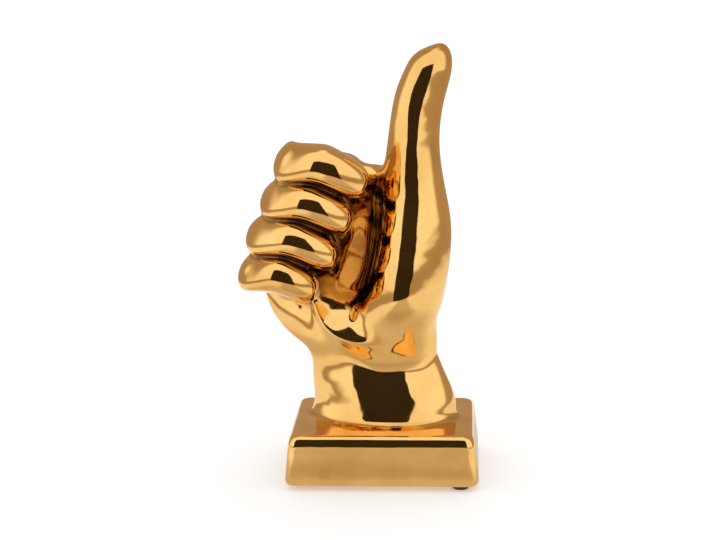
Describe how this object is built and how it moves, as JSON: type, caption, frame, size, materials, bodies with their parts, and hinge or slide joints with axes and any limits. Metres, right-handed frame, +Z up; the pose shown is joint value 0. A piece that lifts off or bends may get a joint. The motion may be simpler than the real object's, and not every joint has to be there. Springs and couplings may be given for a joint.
{
  "type": "hand sculpture",
  "caption": "Gold-glazed ceramic sculpture of a right hand with the thumb up, standing on a rectangular plinth with soft pads underneath.",
  "frame": {"origin": "middle of the sculpture's footprint, on the surface that its pads stand on", "axes": "+X to the right as seen from the palm side, +Y away from that viewer, +Z up"},
  "size_m": [0.1416, 0.084, 0.2565],
  "materials": {
    "gold_glaze": "mirror gold lustre glaze over ceramic",
    "pad": "matte stick-on pad"
  },
  "bodies": {
    "root": {"plinth": "gold_glaze", "wrist_and_palm": "gold_glaze", "thumb": "gold_glaze", "index_finger": "gold_glaze", "middle_finger": "gold_glaze", "ring_finger": "gold_glaze", "little_finger": "gold_glaze", "front_left_pad": "pad", "front_right_pad": "pad", "rear_left_pad": "pad", "rear_right_pad": "pad"}
  },
  "joints": []
}
